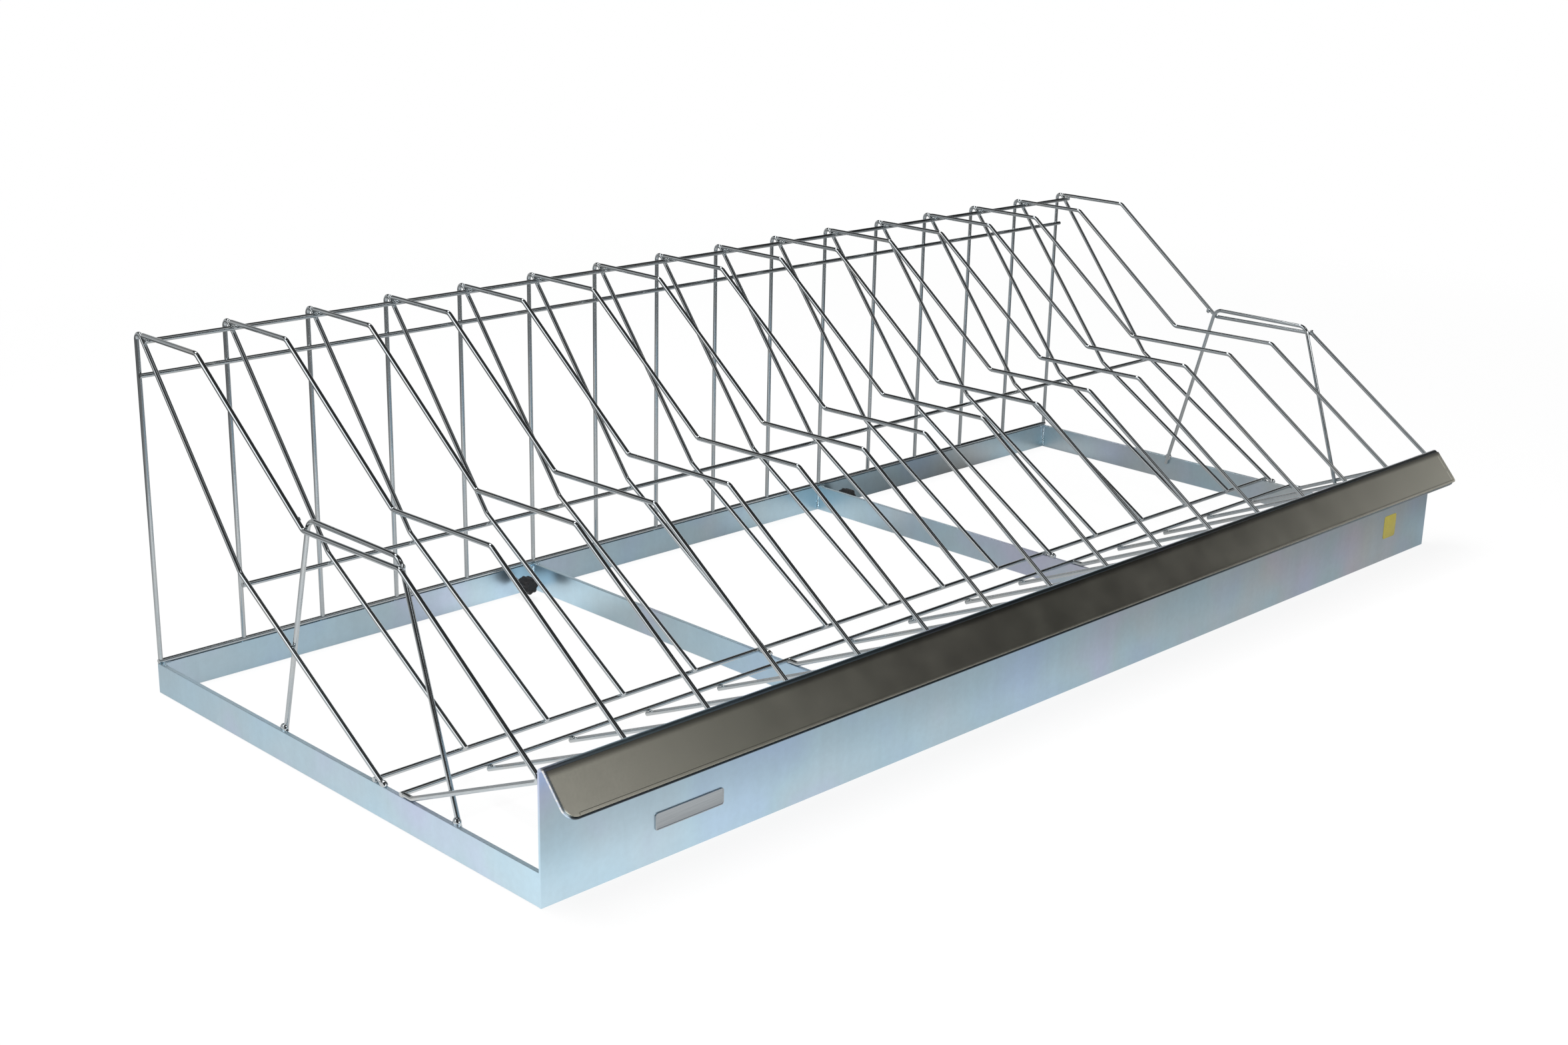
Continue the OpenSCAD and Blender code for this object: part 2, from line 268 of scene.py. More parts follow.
def sheet_shade(tree, where, xyz, fine):
    """Streaks and grain, with a painted shadow along the lip's lower edge and painted shade over the top
    bend.
    """
    streak = clouds(tree, where, 1.0, 4.0, 0.6, (90, 90, 9))
    # Painted shadow along the lip's lower edge
    edge = spread(tree, xyz["Y"], painted_edge_shadow(tree, xyz["X"]), 1.0, cad_lo.y + 1.8 * MM, cad_lo.y + 2.6 * MM)
    # Painted shade over the panel's top bend
    fold = times(
        tree,
        spread(tree, xyz["Y"], 0.72, 0.0, fold_y - 0.3 * MM, fold_y + 0.5 * MM),
        spread(tree, xyz["Z"], 0.0, 1.0, fold_z - 1.6 * MM, fold_z - 1.2 * MM),
    )
    grain = times(tree, spread(tree, streak, 0.97, 1.02), spread(tree, fine, 0.98, 1.02))
    return times(tree, grain, edge, maths(tree, "SUBTRACT", 1.0, fold))


def cut_end_sparkle(tree, where, xyz):
    """One on the rough bare metal of the lip's left end, whose bright dots are a painted sparkle highlight.
    """
    return times(
        tree,
        spread(tree, xyz["X"], 1.0, 0.0, cad_lo.x + 0.3 * MM, cad_lo.x + 0.6 * MM),
        spread(tree, xyz["Y"], 1.0, 0.0, fold_y - 1.0 * MM, fold_y),
        spread(tree, clouds(tree, where, 900.0, 1.0), 0.1, 1.0, 0.4, 0.6),
    )


def zinc_sheet():
    mat, tree, bsdf, where = surface("zinc_sheet", 1.0)
    xyz = add(tree, "SeparateXYZ", Vector=where).outputs
    fine = clouds(tree, where, 260.0, 2.0)
    plated = tint(tree, sheet_color(tree, where, xyz["X"]), sheet_shade(tree, where, xyz, fine))
    # Near-white metal at the lip's left cut end: the cut edge's own bare metal, brightened into a painted
    # sparkle highlight
    bare = add(tree, "Mix", Factor=cut_end_sparkle(tree, where, xyz))
    bare.data_type = "RGBA"
    tree.links.new(plated, bare.inputs[6])
    bare.inputs[7].default_value = (0.94, 0.94, 0.93, 1)
    tree.links.new(bare.outputs[2], bsdf.inputs["Base Color"])
    # What looks up below the panel's top, so the bars' upper edges, is a little dull
    upward = add(tree, "SeparateXYZ", Vector=add(tree, "NewGeometry").outputs["Normal"]).outputs["Z"]
    dull = times(
        tree,
        spread(tree, upward, 0.0, 0.14, 0.6, 0.95),
        spread(tree, xyz["Z"], 1.0, 0.0, 30 * MM, 40 * MM),
    )
    tree.links.new(maths(tree, "SUBTRACT", 1.0, dull), bsdf.inputs["Metallic"])
    rough = spread(tree, clouds(tree, where, 22.0, 3.0), 0.285, 0.36, 0.2, 0.8)
    tree.links.new(rough, bsdf.inputs["Roughness"])
    bumped(tree, bsdf, fine, 0.03, 0.2 * MM)
    return mat


def zinc_wire():
    mat, tree, bsdf, where = surface("zinc_wire", 1.0)
    color = ramp(tree, clouds(tree, where, 30.0, 3.0), [
        (0.3, (0.53, 0.57, 0.59)), (0.5, (0.58, 0.62, 0.64)), (0.7, (0.62, 0.63, 0.62)),
    ])
    fine = clouds(tree, where, 700.0, 2.0)
    tree.links.new(tint(tree, color, spread(tree, fine, 0.97, 1.02)), bsdf.inputs["Base Color"])
    tree.links.new(spread(tree, clouds(tree, where, 60.0, 3.0), 0.08, 0.14), bsdf.inputs["Roughness"])
    bumped(tree, bsdf, fine, 0.02, 0.1 * MM)
    return mat


# Satin label strip with a pale bead along its lower edge
def strip_end(tree, xyz, low, high):
    """How much paler the strip's right end is: a thin broken line and the tip of the lower corner."""
    rise = xyz["Z"]
    from_end = maths(tree, "SUBTRACT", cad_hi.x, xyz["X"])
    from_gap = maths(tree, "ABSOLUTE", maths(tree, "SUBTRACT", rise, 0.57 * low + 0.43 * high))
    line = times(
        tree,
        spread(tree, from_end, 0.0, 0.5, 3.8 * MM, 4.2 * MM),
        spread(tree, from_end, 1.0, 0.0, 4.6 * MM, 5.2 * MM),
        spread(tree, from_gap, 0.0, 1.0, 0.6 * MM, 1.2 * MM),
        spread(tree, rise, 1.0, 0.0, high - 3.0 * MM, high - 2.0 * MM),
    )
    from_tip = maths(tree, "ADD", from_end, times(tree, maths(tree, "SUBTRACT", rise, low), 0.6))
    return maths(tree, "ADD", line, spread(tree, from_tip, 0.55, 0.0, 2.8 * MM, 3.4 * MM))


def strip_finish():
    shine = 0.955
    mat, tree, bsdf, where = surface("label_strip", shine)
    low, high = (corner.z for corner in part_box("label_strip"))
    bead_from = (low + 0.4 * MM, low + 0.7 * MM)
    bead_to = (low + 1.4 * MM, low + 1.9 * MM)
    xyz = add(tree, "SeparateXYZ", Vector=where).outputs
    rise = xyz["Z"]
    color = ramp(tree, clouds(tree, where, 9.0, 3.0), [
        (0.3, (0.53, 0.52, 0.44)), (0.7, (0.59, 0.57, 0.49)),
    ])
    fine = clouds(tree, where, 900.0, 2.0)
    # Painted shade towards the strip's top bend, and a painted shadow below the bead along the lower edge
    shade = times(
        tree,
        spread(tree, fine, 0.96, 1.03),
        spread(tree, rise, 1.0, 0.3, high - 3.4 * MM, high - 0.4 * MM, "SMOOTHSTEP"),
        spread(tree, rise, painted_edge_shadow(tree, xyz["X"]), 1.0, *bead_from),
        maths(tree, "ADD", strip_end(tree, xyz, low, high), 1.0),
    )
    tree.links.new(tint(tree, color, shade), bsdf.inputs["Base Color"])
    bead = times(tree, spread(tree, rise, 0.0, 0.1, *bead_from), spread(tree, rise, 1.0, 0.0, *bead_to))
    tree.links.new(maths(tree, "SUBTRACT", shine, bead), bsdf.inputs["Metallic"])
    tree.links.new(spread(tree, clouds(tree, where, 40.0, 3.0), 0.14, 0.2), bsdf.inputs["Roughness"])
    bumped(tree, bsdf, fine, 0.03, 0.1 * MM)
    return mat


def black_plastic():
    mat, tree, bsdf, where = surface("black_plastic", 0.0)
    bsdf.inputs["Specular IOR Level"].default_value = 0.25
    fine = clouds(tree, where, 1400.0, 2.0)
    color = ramp(tree, fine, [(0.3, (0.010, 0.010, 0.011)), (0.7, (0.022, 0.022, 0.023))])
    tree.links.new(color, bsdf.inputs["Base Color"])
    tree.links.new(spread(tree, fine, 0.38, 0.52), bsdf.inputs["Roughness"])
    bumped(tree, bsdf, fine, 0.3, 0.1 * MM)
    return mat


def stud_steel():
    mat, tree, bsdf, where = surface("stud_steel", 1.0)
    fine = clouds(tree, where, 900.0, 2.0)
    color = ramp(tree, fine, [(0.3, (0.56, 0.58, 0.60)), (0.7, (0.70, 0.71, 0.70))])
    tree.links.new(color, bsdf.inputs["Base Color"])
    tree.links.new(spread(tree, fine, 0.285, 0.36), bsdf.inputs["Roughness"])
    bumped(tree, bsdf, fine, 0.15, 0.1 * MM)
    return mat


def plate_metal():
    mat, tree, bsdf, where = surface("plate_metal", 1.0)
    brush = clouds(tree, where, 60.0, 3.0, 0.6, (1, 40, 40))
    color = ramp(tree, brush, [(0.3, (0.40, 0.43, 0.45)), (0.7, (0.52, 0.55, 0.57))])
    tree.links.new(color, bsdf.inputs["Base Color"])
    tree.links.new(spread(tree, brush, 0.28, 0.42), bsdf.inputs["Roughness"])
    bumped(tree, bsdf, brush, 0.1, 0.1 * MM)
    return mat


def sticker_film():
    mat, tree, bsdf, where = surface("sticker_film", 0.0)
    grain = clouds(tree, where, 600.0, 2.0)
    color = ramp(tree, grain, [(0.3, (0.42, 0.36, 0.065)), (0.7, (0.475, 0.405, 0.08))])
    tree.links.new(color, bsdf.inputs["Base Color"])
    tree.links.new(spread(tree, grain, 0.35, 0.5), bsdf.inputs["Roughness"])
    bumped(tree, bsdf, grain, 0.1, 0.1 * MM)
    return mat


SHEET, WIRE, STRIP = zinc_sheet(), zinc_wire(), strip_finish()
BLACK, STUD, PLATE, FILM = black_plastic(), stud_steel(), plate_metal(), sticker_film()


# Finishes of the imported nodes, with softened edges on the flat work
def finish_of(name):
    if name == "label_strip":
        return STRIP
    if name.endswith(("_bar", "_panel", "_crossbar")):
        return SHEET
    if name.endswith("_grip"):
        return BLACK
    if name.endswith("_stud"):
        return STUD
    return WIRE


def soften(obj, width):
    """Whole flat faces and a narrow bevel of the given width, in metres, along the edges."""
    weld = obj.modifiers.new("join", "WELD")
    weld.merge_threshold = 1e-6
    flat = obj.modifiers.new("flat_faces", "DECIMATE")
    flat.decimate_type = "DISSOLVE"
    flat.angle_limit = math.radians(0.5)
    bevel = obj.modifiers.new("edges", "BEVEL")
    bevel.width = width
    bevel.segments = 2
    bevel.limit_method = "ANGLE"
    bevel.angle_limit = SHARP
    bevel.harden_normals = True


bevel_of = {SHEET: 0.35 * MM, STRIP: 0.2 * MM}
for name, obj in nodes.items():
    finish = finish_of(name)
    obj.data.materials.clear()
    obj.data.materials.append(finish)
    if finish in bevel_of:
        soften(obj, bevel_of[finish])


# Mesh helpers
def mesh_piece(name, bm, material, body):
    """Object from a bmesh, with smooth faces split at sharp edges, on a body of the frame."""
    bmesh.ops.recalc_face_normals(bm, faces=bm.faces)
    mesh = bpy.data.meshes.new(name)
    bm.to_mesh(mesh)
    bm.free()
    mesh.shade_smooth()
    mesh.set_sharp_from_angle(angle=SHARP)
    mesh.materials.append(material)
    obj = bpy.data.objects.new(name, mesh)
    bpy.context.scene.collection.objects.link(obj)
    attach(obj, body)
    return obj


def skin(bm, rows):
    """Closed skin through rows of equally many points, with a face on the first and the last row."""
    for a, b in zip(rows, rows[1:]):
        for k in range(len(a)):
            m = (k + 1) % len(a)
            bm.faces.new((a[k], a[m], b[m], b[k]))
    bm.faces.new(rows[0])
    bm.faces.new(rows[-1])


def drop(bm, at, size):
    """Uneven drop of weld metal at a point in metres, with half sizes along x, y and z in millimetres."""
    shape = Matrix.Translation(at) @ Matrix.Diagonal((*[s * MM for s in size], 1))
    seed = Vector((rng.uniform(0, 90), rng.uniform(0, 90), rng.uniform(0, 90)))
    lumps = ((0.16, 1.3), (0.06, 3.7))       # depth and scale
    made = bmesh.ops.create_icosphere(bm, subdivisions=3, radius=1)
    for v in made["verts"]:
        lump = sum(depth * noise.noise(v.co * scale + seed) for depth, scale in lumps)
        v.co = shape @ (v.co * (1 + lump))
        v.co.x = min(max(v.co.x, cad_lo.x + INSIDE * MM), cad_hi.x - INSIDE * MM)


# Directions and lengths of the dividers' wires in their (y, z) plane
hair_c = Vector((Rack.upright_y - Rack.hair_r, Rack.apex_z - Rack.hair_r))
to_hair = hair_c - Rack.knee
leg_a = angle(to_hair) + math.asin(Rack.hair_r / to_hair.length) + math.pi
leg_top = hair_c + Rack.hair_r * heading(leg_a - math.pi / 2)
to_seat = Rack.seat - Rack.knee
low_a = angle(to_seat) - math.asin(Rack.touch / to_seat.length)
low_l = math.sqrt(to_seat.length_squared - Rack.touch ** 2)
land_z = Rack.bar_h + 1.0
land_l = (Rack.knee.y - land_z) / abs(math.sin(low_a))
hook = Vector((
    Rack.panel_t + Rack.gap + Rack.wire_r + Rack.hook_r,
    Rack.panel_h - Rack.fold_r - Rack.panel_t - Rack.hook_drop,
))
to_front = Rack.front - hook
run_a = angle(to_front) - math.asin((Rack.touch - Rack.hook_r) / to_front.length)


def leg_y(z):
    """Depth of the back slope's middle at a height above the knee."""
    return leg_top.x + (z - leg_top.y) / math.tan(leg_a)


def rod_at(name):
    """Depth and height of a straight rod's middle in millimetres."""
    low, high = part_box(name)
    return (low.y + high.y) / (2 * MM) + mid_y, (low.z + high.z) / (2 * MM)


top_y, top_z = rod_at("top_rod")
mid_rod_y, mid_rod_z = rod_at("mid_rod")
under_rod = Rack.bar_h + 0.3


# Welds of the dividers: small uneven drops where two pieces meet
def crown_welds(bm, x):
    """Top rod to the hairpin and to the back slope, and the crest's end to the back slope."""
    side = Rack.wire_r * heading(leg_a - math.pi / 2)
    drop(bm, place(x, top_y + jitter(-0.2, 0.2), top_z + Rack.wire_r), (1.25, jitter(1.3, 1.6), 1.0))
    drop(bm, place(x, top_y + side.x, top_z + side.y), (1.2, 1.1, jitter(1.3, 1.6)))
    drop(bm, place(x, leg_y(Rack.apex_z) - 1.4, Rack.apex_z - 0.1), (1.45, jitter(1.6, 2.0), 1.45))


def back_welds(bm, x, inward):
    """Upright to the upper back rod and to the rear base rod, and that rod to the rear bar."""
    drop(bm, place(x, Rack.upright_y - Rack.wire_r, Rack.back_z), (1.3, 1.0, jitter(1.2, 1.5)))
    drop(bm, place(x, Rack.upright_y, Rack.rest_z + Rack.wire_r), (1.35, 1.35, jitter(0.9, 1.2)))
    at = place(x + inward + jitter(-0.4, 0.4), Rack.upright_y, under_rod)
    drop(bm, at, (jitter(2.4, 3.4), 0.95, 0.6))


def knee_weld(bm, x):
    """Middle rod to the slope below the knee."""
    side = Rack.wire_r * heading(low_a + math.pi / 2)
    drop(bm, place(x, mid_rod_y - side.x, mid_rod_z - side.y), (1.2, 1.2, jitter(1.2, 1.5)))


def seat_welds(bm, x, to_bar):
    """Slope to the seat rod; over a bar also the slope's end and the rod to that bar."""
    foot = Rack.knee + low_l * heading(low_a)
    drop(bm, place(x, *((foot + Rack.seat) / 2)), (1.25, 1.1, jitter(1.1, 1.4)))
    if to_bar:
        land = Rack.knee + land_l * heading(low_a)
        drop(bm, place(x, land.x - 0.6, Rack.bar_h + 1.2), (2.1, jitter(3.0, 3.8), 2.2))
        drop(bm, place(x, Rack.seat.x, under_rod), (1.35, jitter(1.8, 2.4), 0.8))


def front_welds(bm, x, to_bar):
    """Return run to the front base rod; over a bar the run's end and the rod to that bar."""
    if to_bar:
        drop(bm, place(x, Rack.front.x - 1.4, Rack.rest_z - 0.2), (1.45, jitter(2.0, 2.4), 1.7))
        drop(bm, place(x, Rack.front.x, under_rod), (1.4, jitter(2.0, 2.8), 0.8))
    else:
        below = Rack.touch * heading(run_a - math.pi / 2)
        drop(bm, place(x, *(Rack.front + below / 2)), (1.2, 1.2, jitter(1.0, 1.3)))


def hook_welds(bm, x, inward):
    """Hook to the panel's back, with a smaller drop beside it."""
    at = place(x, Rack.panel_t + 0.3, hook.y - jitter(0.2, 0.8))
    drop(bm, at, (1.5, 0.55, jitter(2.4, 3.2)))
    aside = math.copysign(1, inward) if inward else rng.choice((-1, 1))
    drop(bm, place(x + jitter(1.0, 1.4) * aside, Rack.panel_t + 0.4, hook.y), (0.7, 0.6, 1.6))


def divider_welds():
    end_shift = 2.2
    crown, back, knees, seats, fronts, hooks = (bmesh.new() for _ in range(6))
    for i, x in enumerate(divider_x):
        inward = end_shift * ((i == 0) - (i == Rack.count - 1))
        crown_welds(crown, x)
        back_welds(back, x, inward)
        knee_weld(knees, x)
        seat_welds(seats, x, i in on_bar)
        front_welds(fronts, x, i in on_bar)
        hook_welds(hooks, x, inward)
    mesh_piece("welds_crown", crown, WIRE, "rack")
    mesh_piece("welds_back", back, WIRE, "rack")
    mesh_piece("welds_knees", knees, WIRE, "rack")
    mesh_piece("welds_seat", seats, WIRE, "rack")
    mesh_piece("welds_front", fronts, WIRE, "rack")
    mesh_piece("welds_hooks", hooks, WIRE, "rack")


def brace_welds():
    """Feet of the end supports to the side bars, and their bends to the end dividers."""
    bm = bmesh.new()
    up = (Rack.support_z - Rack.notch.y) / (Rack.apex_z - Rack.notch.y)
    slope_y = Rack.notch.x + up * (Rack.crest_y - Rack.notch.x)
    feet = (Rack.support_rear + Rack.spread_rear, Rack.support_front - Rack.spread_front)
    for s in (-1, 1):
        low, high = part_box("left_end_support" if s < 0 else "right_end_support")
        wire_x = (low.x + high.x) / (2 * MM)
        face_x = s * (half_w - Rack.bar_t)
        for y in feet:
            drop(bm, place((wire_x + face_x) / 2 + 0.2 * s, y, Rack.bar_h + 0.2), (2.3, 2.9, 3.4))
            at = place(face_x - 0.3 * s, y + jitter(-1, 1), Rack.bar_h - 0.2)
            drop(bm, at, (1.6, jitter(3.0, 3.6), 1.2))
        joint_x = (wire_x + s * divider_x[-1]) / 2
        drop(bm, place(joint_x, slope_y - 1.2, Rack.support_z - 2.2), (1.2, 1.7, 2.2))
        drop(bm, place(joint_x, Rack.shoulder.x - 0.8, Rack.shoulder.y + 1.2), (1.2, 1.7, 2.0))
    mesh_piece("welds_braces", bm, WIRE, "rack")


# Welds of the flat bars: each face is its x and the side, -1 or 1, that it looks to
rear_face = Rack.base_d - Rack.bar_t
bar_faces = [(-half_w + Rack.bar_t, 1), (half_w - Rack.bar_t, -1)]
for i in Rack.crossed:
    bar_faces += [(divider_x[i] - Rack.bar_t / 2, -1), (divider_x[i] + Rack.bar_t / 2, 1)]


def seam_welds():
    """Rows of drops up the inside corners, thicker at the ends of the rear ones."""
    bm = bmesh.new()
    out = 0.15
    lowest, highest = 2.0, Rack.bar_h - 1.5
    for x, s in bar_faces:
        for y, t in ((rear_face, -1), (Rack.panel_t, 1)):
            z = lowest
            while z < highest:
                fat = 0.7 * abs(math.cos(math.pi * z / Rack.bar_h)) if t < 0 else 0.0
                size = (jitter(0.9, 1.2) + fat, jitter(0.9, 1.2) + fat, 1.1)
                drop(bm, place(x + out * s, y + out * t, z), size)
                z += jitter(1.0, 1.5)
    mesh_piece("welds_bars", bm, SHEET, "rack")


def corner_welds():
    """Two long drops on top of each rear corner, one along each bar."""
    bm = bmesh.new()
    top = Rack.bar_h - 0.1
    for x, s in bar_faces:
        drop(bm, place(x + 2.2 * s, rear_face + 0.2, top), (jitter(2.4, 3.0), 0.9, 0.7))
        drop(bm, place(x - 0.6 * s, rear_face - jitter(2.0, 2.6), top), (0.9, jitter(2.6, 3.4), 0.7))
    mesh_piece("welds_tops", bm, SHEET, "rack")


divider_welds()
brace_welds()
seam_welds()
corner_welds()


# Thumb screws: round skins about an axis along y
def turned(bm, x, z, rings):
    """Closed skin through rings of (y in millimetres, radii round the axis in millimetres)."""
    rows = []
    for y, radii in rings:
        step = 2 * math.pi / len(radii)
        rows.append([
            bm.verts.new(place(x + r * math.cos(step * k), y, z + r * math.sin(step * k)))
            for k, r in enumerate(radii)
        ])
    skin(bm, rows)


def stud_rings():
    """Thread with a chamfered tip, then a plain shank, from the tip towards the front."""
    around = 36
    step = Screw.thread_pitch / 8
    tip_y = Rack.base_d + Rack.tail - INSIDE
    length = Rack.tail + Rack.bar_t + Rack.standoff + Screw.in_grip
    rings, s = [], 0.0
    while s < Screw.thread_l:
        radii = []
        for k in range(around):
            phase = (s / Screw.thread_pitch + k / around) % 1
            flank = Screw.root_r + 2 * (Screw.crest_r - Screw.root_r) * abs(phase - 0.5)
            radii.append(min(flank, Screw.tip_r + s, Screw.root_r + 2 * (Screw.thread_l - s)))
        rings.append((tip_y - s, radii))
        s += step
    for at in (Screw.thread_l, Screw.thread_l + 0.02, length - Screw.chamfer):
        rings.append((tip_y - at, [Screw.shank_r] * around))
    rings.append((tip_y - length, [Screw.tip_r] * around))
    return rings


def lobes(inset, n):
    """Radii of the grip's fluted outline, drawn in by inset, at n points and smoothed."""
    out = []
    for k in range(n):
        a = (2 * math.pi * k / n) % (2 * math.pi / Screw.flutes) - math.pi / Screw.flutes
        beside = Screw.flute_out * math.sin(a)
        r = Screw.head_r
        if abs(beside) < Screw.flute_r:
            r = min(r, Screw.flute_out * math.cos(a) - math.sqrt(Screw.flute_r ** 2 - beside ** 2))
        out.append(r - inset)
    for _ in range(8):
        out = [(out[k - 1] + 2 * out[k] + out[(k + 1) % n]) / 4 for k in range(n)]
    return out


def grip_rings():
    """Hub, lobed head with rounded ends and a shallow dish in its front, from the hub towards the front."""
    n = 112
    arc = [k / 5 * math.pi / 2 for k in range(6)]
    hub_y = Rack.base_d - Rack.bar_t - Rack.standoff
    back_y = hub_y - Screw.hub_l - Screw.neck
    front_y = hub_y - Screw.head_l
    rings = [
        (hub_y, [Screw.bore_r] * n),
        (hub_y, [Screw.hub_end_r] * n),
        (hub_y - Screw.neck, [Screw.hub_r] * n),
        (hub_y - Screw.hub_l, [Screw.hub_r] * n),
        (back_y, [min(Screw.core_r, r) for r in lobes(Screw.back_core, n)]),
    ]
    for a in arc[1:]:
        y = back_y - Screw.back_round * (1 - math.cos(a))
        rings.append((y, lobes(Screw.back_inset * (1 - math.sin(a)), n)))
    for a in arc:
        y = front_y + Screw.front_round * (1 - math.sin(a))
        rings.append((y, lobes(Screw.front_inset * (1 - math.cos(a)), n)))
    rings.append((front_y, [min(Screw.core_r, r) for r in lobes(Screw.front_core, n)]))
    rings.append((front_y + Screw.dish_rim, [Screw.dish_r] * n))
    rings.append((front_y + Screw.dish_l, [Screw.dish_mid_r] * n))
    return rings


for s, side_name in ((-1, "left"), (1, "right")):
    stud = bmesh.new()
    turned(stud, s * Rack.screw_x, Rack.screw_z, stud_rings())
    thread = mesh_piece(side_name + "_thread", stud, STUD, side_name + "_screw")
    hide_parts(side_name + "_stud")
    grip = bmesh.new()
    turned(grip, s * Rack.screw_x, Rack.screw_z, grip_rings())
    knob_skin = mesh_piece(side_name + "_knob_skin", grip, BLACK, side_name + "_knob")
    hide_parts(side_name + "_grip")


# Bare plate and bare sticker on the panel's front face
def rounded_box(bm, x0, x1, z0, z1, r, layers):
    """Plate with rounded corners: layers of (distance in front of the panel, inset), all in millimetres."""
    rows = []
    for out, inset in layers:
        row = []
        bend = max(r - inset, 0.05)
        for edge_x, edge_z, start in ((x1, z1, 0), (x0, z1, 90), (x0, z0, 180), (x1, z0, 270)):
            mid_x = edge_x - math.copysign(inset + bend, edge_x - (x0 + x1) / 2)
            mid_z = edge_z - math.copysign(inset + bend, edge_z - (z0 + z1) / 2)
            for k in range(9):
                a = math.radians(start + 90 * k / 8)
                at = place(mid_x + bend * math.cos(a), -out, mid_z + bend * math.sin(a))
                row.append(bm.verts.new(at))
        rows.append(row)
    skin(bm, rows)


def blank_plate():
    """Plate with a rounded raised rim."""
    left, right, bottom, top, corner_r = -373.7, -323.5, 18.4, 28.6, 1.6
    bm = bmesh.new()
    rounded_box(bm, left, right, bottom, top, corner_r, [
        (0.02, 0), (0.55, 0), (0.68, 0.06), (0.72, 0.2),
        (0.72, 0.55), (0.68, 0.68), (0.5, 0.78), (0.46, 0.95),
    ])
    mesh_piece("blank_plate", bm, PLATE, "rack")


def blank_sticker():
    left, right, bottom, top, corner_r = 386, 404, 18, 36.5, 2.2
    bm = bmesh.new()
    rounded_box(bm, left, right, bottom, top, corner_r, [(0.02, 0), (0.1, 0), (0.14, 0.05)])
    mesh_piece("blank_sticker", bm, FILM, "rack")


blank_plate()
blank_sticker()


# Floor: white to the camera; in the metal it is pale under the rack, dim further away, pale again far behind
base_x, base_y = 0.45, 0.2                   # half sizes of the rack's base in metres
bay = 0.3                                    # from bar to bar in metres


def along(tree, x, y, by_x, by_y):
    """Sum of a place's x and y, each times its factor."""
    return maths(tree, "ADD", times(tree, x, by_x), times(tree, y, by_y))


def from_base(tree, x, y):
    """Distance of a place on the floor from the rack's base, in metres."""
    squares = []
    for value, half in ((x, base_x), (y, base_y)):
        past = maths(tree, "SUBTRACT", maths(tree, "ABSOLUTE", value), half)
        squares.append(maths(tree, "POWER", maths(tree, "MAXIMUM", past, 0.0), 2.0))
    return maths(tree, "POWER", maths(tree, "ADD", *squares), 0.5)


def rear_corners(tree, x, y):
    """How much paler the floor is along the base's rear, to the left of each bar: painted light that the
    metal mirrors.

    In the right bay it falls below zero, a painted shadow, so the floor is darker there.
    """
    past_bar = maths(tree, "MODULO", maths(tree, "ADD", x, base_x), bay)
    shaded = times(tree, spread(tree, x, 0.0, 0.6, 0.16, 0.2), spread(tree, past_bar, 1.0, 0.0, 0.17, 0.25))
    corner = maths(tree, "SUBTRACT", spread(tree, past_bar, 0.0, 1.0, 0.19, 0.27, "SMOOTHSTEP"), shaded)
    return times(
        tree,
        corner,
        spread(tree, y, 0.0, 1.0, 0.11, 0.175, "SMOOTHSTEP"),
        spread(tree, maths(tree, "ABSOLUTE", x), 1.0, 0.0, base_x - 0.01, base_x),
        spread(tree, y, 1.0, 0.0, base_y, base_y + 0.002),
    )


def floor_glow(tree, x, y, away):
    """Brightness of the floor as the metal mirrors it."""
    fall = maths(tree, "EXPONENT", times(tree, maths(tree, "ADD", along(tree, x, y, 0.95, 1.45), 0.7), -1.0))
    fall = times(tree, fall, maths(tree, "ADD", rear_corners(tree, x, y), 1.0))
    near = times(
        tree,
        spread(tree, away, 1.0, 0.16, 0.1, 0.42),
        maths(tree, "MINIMUM", fall, 1.0),
        spread(tree, times(tree, y, -1.0), 1.0, 0.5, base_y, base_y + 0.062, "SMOOTHSTEP"),
    )
    behind = spread(tree, along(tree, x, y, 0.6, 0.8), 0.0, 0.85, 0.3, 1.0)
    return maths(tree, "MAXIMUM", near, behind)


def seen_plainly(tree, path):
    """One for camera rays and transmission rays, which see a white floor and a white world."""
    return maths(tree, "MAXIMUM", path.outputs["Is Camera Ray"], path.outputs["Is Transmission Ray"])


def floor_paper():
    mat = bpy.data.materials.new("floor_paper")
    mat.use_nodes = True
    tree = mat.node_tree
    tree.nodes.clear()
    path = add(tree, "LightPath")
    seen = seen_plainly(tree, path)
    xyz = add(tree, "SeparateXYZ", Vector=add(tree, "NewGeometry").outputs["Position"]).outputs
    away = from_base(tree, xyz["X"], xyz["Y"])
    level = maths(tree, "MAXIMUM", seen, floor_glow(tree, xyz["X"], xyz["Y"], away))
    plain = add(tree, "BsdfDiffuse", Color=(0.9, 0.9, 0.9, 1))
    glow = add(tree, "Emission", Color=(1, 1, 1, 1), Strength=level)
    # Near the rack a little of the plain paper stays, and with it the shadow
    shown = maths(tree, "MAXIMUM", seen, path.outputs["Is Glossy Ray"])
    mixed = add(tree, "MixShader", Fac=times(tree, shown, spread(tree, away, 0.88, 1.0, 0.3, 1.2)))
    tree.links.new(plain.outputs[0], mixed.inputs[1])
    tree.links.new(glow.outputs[0], mixed.inputs[2])
    out = add(tree, "OutputMaterial")
    tree.links.new(mixed.outputs[0], out.inputs["Surface"])
    return mat


def lay_floor():
    size, below = 14, 0.4 * MM
    bm = bmesh.new()
    bmesh.ops.create_grid(bm, x_segments=2, y_segments=2, size=size)
    mesh = bpy.data.meshes.new("floor")
    bm.to_mesh(mesh)
    bm.free()
    mesh.materials.append(floor_paper())
    floor = bpy.data.objects.new("floor", mesh)
    floor.location.z = -below
    bpy.context.scene.collection.objects.link(floor)


lay_floor()


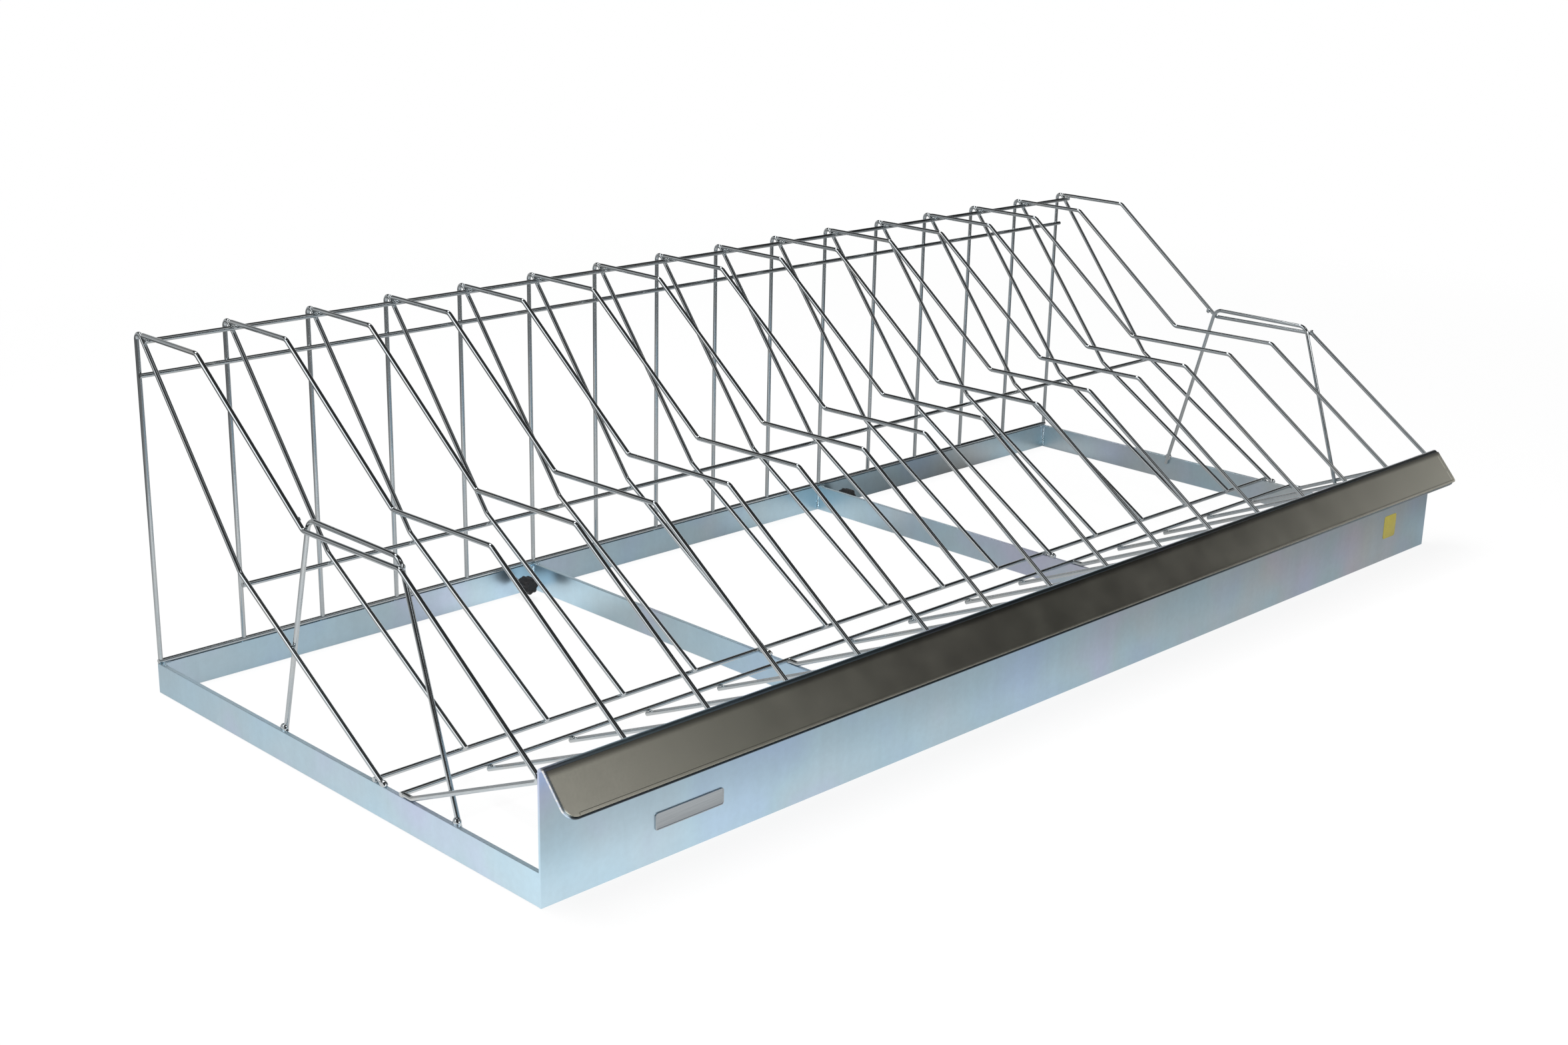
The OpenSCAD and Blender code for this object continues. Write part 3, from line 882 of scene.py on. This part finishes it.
# Studio: white to the camera; metal mirrors a dim room with a few pale windows
def window(tree, turn, up, middle, half, low, high, soft):
    """One inside a window of the room, fading to nothing at its edges; all sizes are angles in degrees."""
    off = maths(tree, "ABSOLUTE", maths(tree, "WRAP", maths(tree, "SUBTRACT", turn, middle), 180.0, -180.0))
    sides = spread(tree, off, 1.0, 0.0, half - soft, half + soft, "SMOOTHSTEP")
    sill = spread(tree, up, 0.0, 1.0, low - soft, low + soft, "SMOOTHSTEP")
    head = spread(tree, up, 1.0, 0.0, high - soft, high + soft, "SMOOTHSTEP")
    return times(tree, sides, times(tree, sill, head))


def room():
    world = bpy.data.worlds.new("room")
    bpy.context.scene.world = world
    world.use_nodes = True
    tree = world.node_tree
    tree.nodes.clear()
    toward = add(tree, "SeparateXYZ", Vector=add(tree, "TexCoord").outputs["Generated"])
    east, north, rise = (toward.outputs[k] for k in "XYZ")
    turn = maths(tree, "DEGREES", maths(tree, "ARCTAN2", east, times(tree, north, -1.0)))
    up = maths(tree, "DEGREES", maths(tree, "ARCSINE", rise))
    level = 0.035
    # Each window's middle, counted from the rack's front towards +X, then its half width, lower edge,
    # upper edge, softness and strength; the last one takes light away, as a darker part of the room
    for middle, half, low, high, soft, strength in (
        (-105, 24, -20, 20, 7, 0.77), (-110, 15, 20, 48, 7, 1.8), (175, 53, -20, 30, 6, 0.42),
        (0, 38, 60, 70, 4, 1.0), (104, 30, -20, 6, 5, 1.4), (-12, 13, 16, 36, 4, 7.0),
        (42, 8, 28, 55, 8, 0.62), (68, 9, 3, 22, 6, 1.05), (180, 40, 60, 66, 3, 7.0),
        (68, 18, 26, 48, 10, -0.033),
    ):
        pane = window(tree, turn, up, middle, half, low, high, soft)
        level = maths(tree, "ADD", times(tree, pane, strength), level)
    seen = seen_plainly(tree, add(tree, "LightPath"))
    level = maths(tree, "ADD", times(tree, level, maths(tree, "SUBTRACT", 1.0, seen)), seen)
    back = add(tree, "Background", Color=(1, 1, 1, 1), Strength=level)
    out = add(tree, "OutputWorld")
    tree.links.new(back.outputs[0], out.inputs["Surface"])


def lamp(name, at, size, power):
    """Area lamp that shines on the rack's middle and isn't mirrored in the metal."""
    aim = Vector((0, 0, 0.1))
    data = bpy.data.lights.new(name, "AREA")
    data.shape = "RECTANGLE"
    data.size, data.size_y = size
    data.energy = power
    obj = bpy.data.objects.new(name, data)
    obj.location = at
    obj.rotation_euler = (aim - Vector(at)).to_track_quat("-Z", "Y").to_euler()
    obj.visible_glossy = False
    bpy.context.scene.collection.objects.link(obj)


room()
lamp("top_lamp", (-0.5, 0.1, 2.0), (1.6, 1.0), 42)
lamp("front_lamp", (-0.4, -2.0, 1.1), (1.2, 0.8), 9)


# Camera at the photo's place
def camera():
    photo_width_px, focal_px, sensor_mm = 2353, 3111.9, 36
    at = (-1.0437, -0.944171, 0.5173)
    azimuth, elevation, roll = (math.radians(a) for a in (-45.244, 17.784, 1.308))
    flat = math.cos(elevation)
    back_axis = Vector((math.sin(azimuth) * flat, -math.cos(azimuth) * flat, math.sin(elevation)))
    level = Vector((math.cos(azimuth), math.sin(azimuth), 0))
    plumb = back_axis.cross(level)
    right = math.cos(roll) * level + math.sin(roll) * plumb
    up = math.cos(roll) * plumb - math.sin(roll) * level
    data = bpy.data.cameras.new("camera")
    data.sensor_width = sensor_mm
    data.lens = sensor_mm * focal_px / photo_width_px
    data.clip_start = 0.01
    obj = bpy.data.objects.new("camera", data)
    obj.matrix_world = Matrix.Translation(at) @ Matrix((right, up, back_axis)).transposed().to_4x4()
    bpy.context.scene.collection.objects.link(obj)
    bpy.context.scene.camera = obj


camera()
bpy.context.scene.view_settings.view_transform = "Standard"
